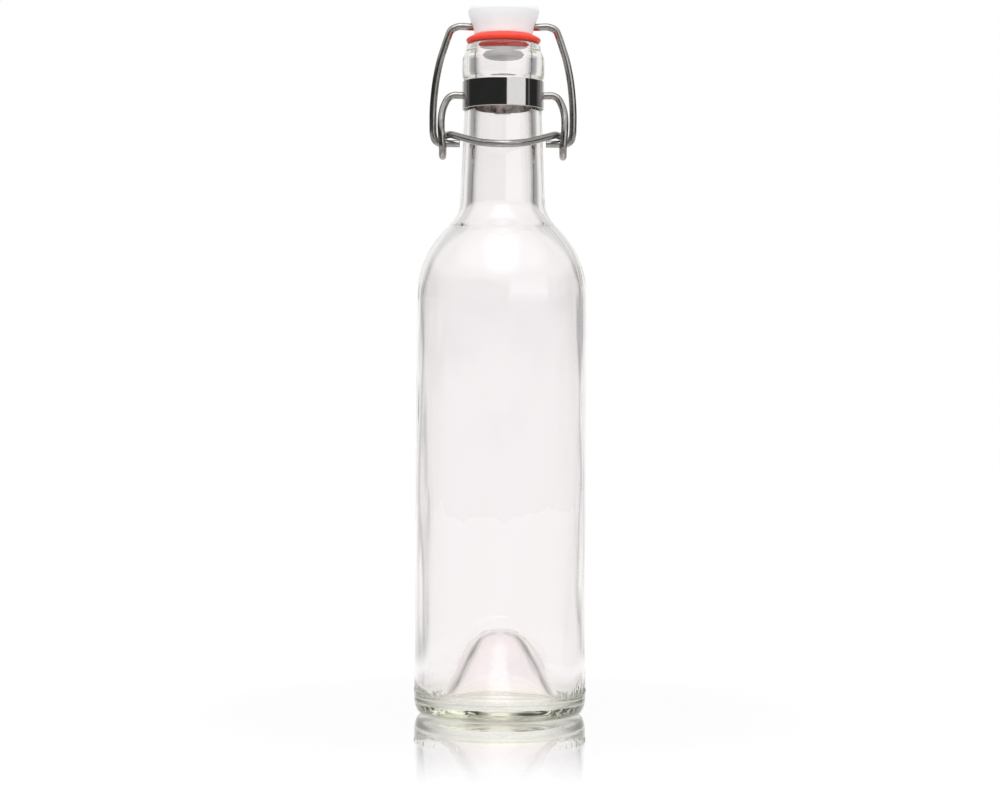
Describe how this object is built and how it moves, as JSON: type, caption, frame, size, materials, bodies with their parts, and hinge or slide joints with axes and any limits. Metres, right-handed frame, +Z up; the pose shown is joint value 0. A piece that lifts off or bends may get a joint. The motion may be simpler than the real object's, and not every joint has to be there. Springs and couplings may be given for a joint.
{
  "type": "swing-top growler bottle",
  "caption": "Clear glass swing-top bottle with a deep pushed-up base, wire lever and bail closure, white stopper head and red sealing ring.",
  "frame": {"origin": "centre of the base, on the plane of the bearing ring that the bottle stands on", "axes": "+Z up along the bottle's axis, -Y towards the front where the lever's thumb loop hangs, X along the hinge axes of the closure"},
  "size_m": [0.0608, 0.0608, 0.2535],
  "materials": {
    "clear_glass": "fire polished",
    "band_steel": "polished",
    "wire_steel": "bright drawn",
    "white_plastic": "satin moulded",
    "red_rubber": "matt moulded"
  },
  "bodies": {
    "bottle": {"glass_bottle": "clear_glass", "neck_band": "band_steel"},
    "lever": {"lever_wire": "wire_steel"},
    "bail": {"stopper_wire": "wire_steel"},
    "stopper": {"stopper_head": "white_plastic", "sealing_ring": "red_rubber"}
  },
  "joints": [
    {"name": "lever_pivot", "type": "hinge", "parent": "bottle", "child": "lever", "pos_m": [0, 0, 0.2194], "axis": [-1, 0, 0], "range_deg": [0, 165]},
    {"name": "bail_hook", "type": "hinge", "parent": "lever", "child": "bail", "pos_m": [0, 0.0003, 0.2023], "axis": [-1, 0, 0], "range_deg": [-98, 0]},
    {"name": "stopper_tilt", "type": "hinge", "parent": "bail", "child": "stopper", "pos_m": [0, 0, 0.2438], "axis": [-1, 0, 0], "range_deg": [-45, 0]}
  ],
  "couplings": [
    {"joint": "bail_hook", "follows": "lever_pivot", "ratio": -0.59},
    {"joint": "stopper_tilt", "follows": "lever_pivot", "ratio": -0.27}
  ]
}
